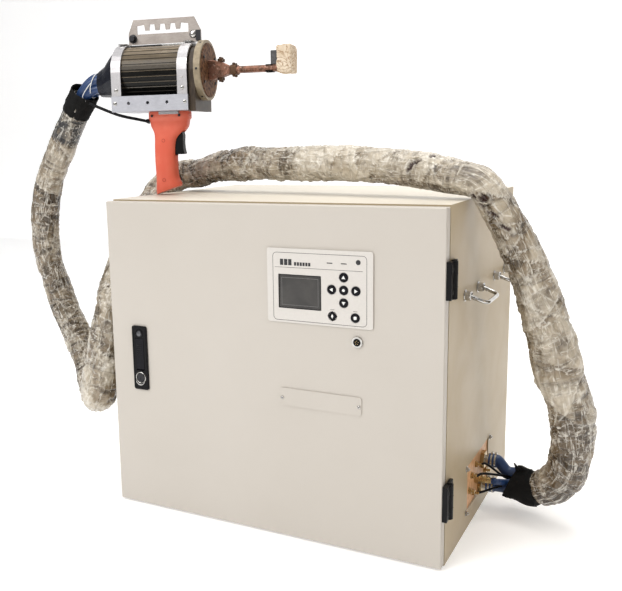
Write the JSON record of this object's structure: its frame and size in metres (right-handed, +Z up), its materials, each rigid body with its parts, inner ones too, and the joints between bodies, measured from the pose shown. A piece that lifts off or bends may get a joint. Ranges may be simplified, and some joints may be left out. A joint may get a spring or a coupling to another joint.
{
  "type": "handheld induction heating machine",
  "caption": "Sheet-metal floor cabinet with hinged door, keypad and lock, joined by a thick wrapped hose bundle to a pistol-grip heating gun that stands on its top.",
  "frame": {"origin": "centre of the cabinet's underside, on the floor", "axes": "+Z up, -Y out of the door, +X to the right of someone facing the door; the gun stands on the left of the top"},
  "size_m": [1.1715, 0.5053, 0.944],
  "materials": {
    "beige": "fine textured powder coat, satin",
    "sheet": "zinc plated sheet",
    "aluminium": "satin, drilled plate",
    "can_blue": "painted cans",
    "ferrite": "matt dark ferrite",
    "board": "solder-masked board",
    "phenolic": "glossy laminate",
    "chrome": "polished",
    "brass": "machined",
    "cream_brass": "pale machined ring",
    "black": "moulded, satin",
    "gloss_black": "glossy",
    "boot": "rubber",
    "keypad": "membrane overlay",
    "screen": "dark display window",
    "film": "crinkled clear film over a dark sleeve",
    "cloth": "woven sleeve",
    "blue_rubber": "water-cooled cable sheath",
    "brown_phenolic": "scorched laminate",
    "copper": null,
    "ceramic": "rough cast",
    "red_grip": "moulded, satin"
  },
  "bodies": {
    "cabinet": {"cabinet_shell": "beige", "back_cover": "sheet", "mounting_plate": "sheet", "inverter_heat_sink": "aluminium", "capacitor_bank": "can_blue", "output_transformer": "ferrite", "control_board": "board", "connector_plate": "phenolic", "power_fitting_upper": "chrome", "power_fitting_lower": "chrome", "water_coupling": "brass", "hinge_leaf_upper": "black", "hinge_leaf_lower": "black", "handle_foot_front_a": "chrome", "handle_foot_front_b": "chrome", "handle_foot_rear_a": "chrome", "handle_foot_rear_b": "chrome", "hose_bundle": "film", "sleeve_cabinet_end": "cloth", "supply_cable_upper": "blue_rubber", "supply_cable_lower": "blue_rubber"},
    "door": {"door_panel": "beige", "blank_plate": "beige", "hinge_knuckle_upper": "black", "hinge_knuckle_lower": "black", "hmi_panel": "keypad", "hmi_screen": "screen", "panel_socket": "chrome", "lock_housing": "black"},
    "lock_lever": {"lock_lever": "gloss_black"},
    "lock_button": {"lock_button": "aluminium"},
    "lock_cylinder": {"lock_cylinder": "chrome"},
    "lock_cam": {"lock_cam": "sheet"},
    "bail_front": {"handle_bail_front": "chrome"},
    "bail_rear": {"handle_bail_rear": "chrome"},
    "gun": {"gun_barrel": "gloss_black", "gun_boot": "boot", "gun_cradle": "aluminium", "gun_strap_front": "aluminium", "gun_strap_rear": "aluminium", "gun_hanger": "aluminium", "gun_front_block": "brown_phenolic", "gun_clamp_ring": "cream_brass", "gun_front_disc": "brown_phenolic", "gun_terminal_near": "copper", "gun_terminal_far": "copper", "inductor_leads": "copper", "ceramic_block": "ceramic", "ferrite_core": "ferrite", "gun_grip": "red_grip", "gun_cables": "blue_rubber", "control_cable": "black"},
    "trigger": {"gun_trigger": "black"},
    "key_up": {"key_up": "gloss_black"},
    "key_left": {"key_left": "gloss_black"},
    "key_enter": {"key_enter": "gloss_black"},
    "key_right": {"key_right": "gloss_black"},
    "key_down": {"key_down": "gloss_black"},
    "key_start": {"key_start": "gloss_black"},
    "key_stop": {"key_stop": "gloss_black"}
  },
  "joints": [
    {"name": "door_hinge", "type": "hinge", "parent": "cabinet", "child": "door", "pos_m": [0.332, -0.2285, 0.3], "axis": [0, 0, 1], "range_deg": [0, 160]},
    {"name": "lever_pull", "type": "hinge", "parent": "door", "child": "lock_lever", "pos_m": [-0.26, -0.2495, 0.281], "axis": [1, 0, 0], "range_deg": [0, 45]},
    {"name": "cam_turn", "type": "hinge", "parent": "door", "child": "lock_cam", "pos_m": [-0.26, -0.2212, 0.287], "axis": [0, 1, 0], "range_deg": [0, 90]},
    {"name": "button_push", "type": "slide", "parent": "door", "child": "lock_button", "axis": [0, 1, 0], "range_m": [0, 0.003], "stiffness_N_per_m": 400, "springref_m": -0.001},
    {"name": "cylinder_turn", "type": "hinge", "parent": "door", "child": "lock_cylinder", "pos_m": [-0.26, -0.2535, 0.262], "axis": [0, 1, 0], "range_deg": [0, 90]},
    {"name": "gun_lift", "type": "slide", "parent": "cabinet", "child": "gun", "axis": [0, 0, 1], "range_m": [0, 0.1]},
    {"name": "trigger_pull", "type": "hinge", "parent": "gun", "child": "trigger", "pos_m": [-0.26202, -0.0796, 0.7215], "axis": [-0.225, 0.9744, 0], "range_deg": [0, 9], "stiffness_Nm_per_rad": 0.9, "springref_deg": -4.58},
    {"name": "bail_front_fold", "type": "hinge", "parent": "cabinet", "child": "bail_front", "pos_m": [0.3325, -0.085, 0.441], "axis": [0, 1, 0], "range_deg": [-20, 60]},
    {"name": "bail_rear_fold", "type": "hinge", "parent": "cabinet", "child": "bail_rear", "pos_m": [0.3325, 0.135, 0.441], "axis": [0, 1, 0], "range_deg": [-20, 60]},
    {"name": "key_up_press", "type": "slide", "parent": "door", "child": "key_up", "axis": [0, 1, 0], "range_m": [0, 0.0012], "stiffness_N_per_m": 500, "springref_m": -0.0005},
    {"name": "key_left_press", "type": "slide", "parent": "door", "child": "key_left", "axis": [0, 1, 0], "range_m": [0, 0.0012], "stiffness_N_per_m": 500, "springref_m": -0.0005},
    {"name": "key_enter_press", "type": "slide", "parent": "door", "child": "key_enter", "axis": [0, 1, 0], "range_m": [0, 0.0012], "stiffness_N_per_m": 500, "springref_m": -0.0005},
    {"name": "key_right_press", "type": "slide", "parent": "door", "child": "key_right", "axis": [0, 1, 0], "range_m": [0, 0.0012], "stiffness_N_per_m": 500, "springref_m": -0.0005},
    {"name": "key_down_press", "type": "slide", "parent": "door", "child": "key_down", "axis": [0, 1, 0], "range_m": [0, 0.0012], "stiffness_N_per_m": 500, "springref_m": -0.0005},
    {"name": "key_start_press", "type": "slide", "parent": "door", "child": "key_start", "axis": [0, 1, 0], "range_m": [0, 0.0012], "stiffness_N_per_m": 500, "springref_m": -0.0005},
    {"name": "key_stop_press", "type": "slide", "parent": "door", "child": "key_stop", "axis": [0, 1, 0], "range_m": [0, 0.0012], "stiffness_N_per_m": 500, "springref_m": -0.0005}
  ],
  "couplings": [
    {"joint": "cam_turn", "follows": "lever_pull", "ratio": 2}
  ]
}
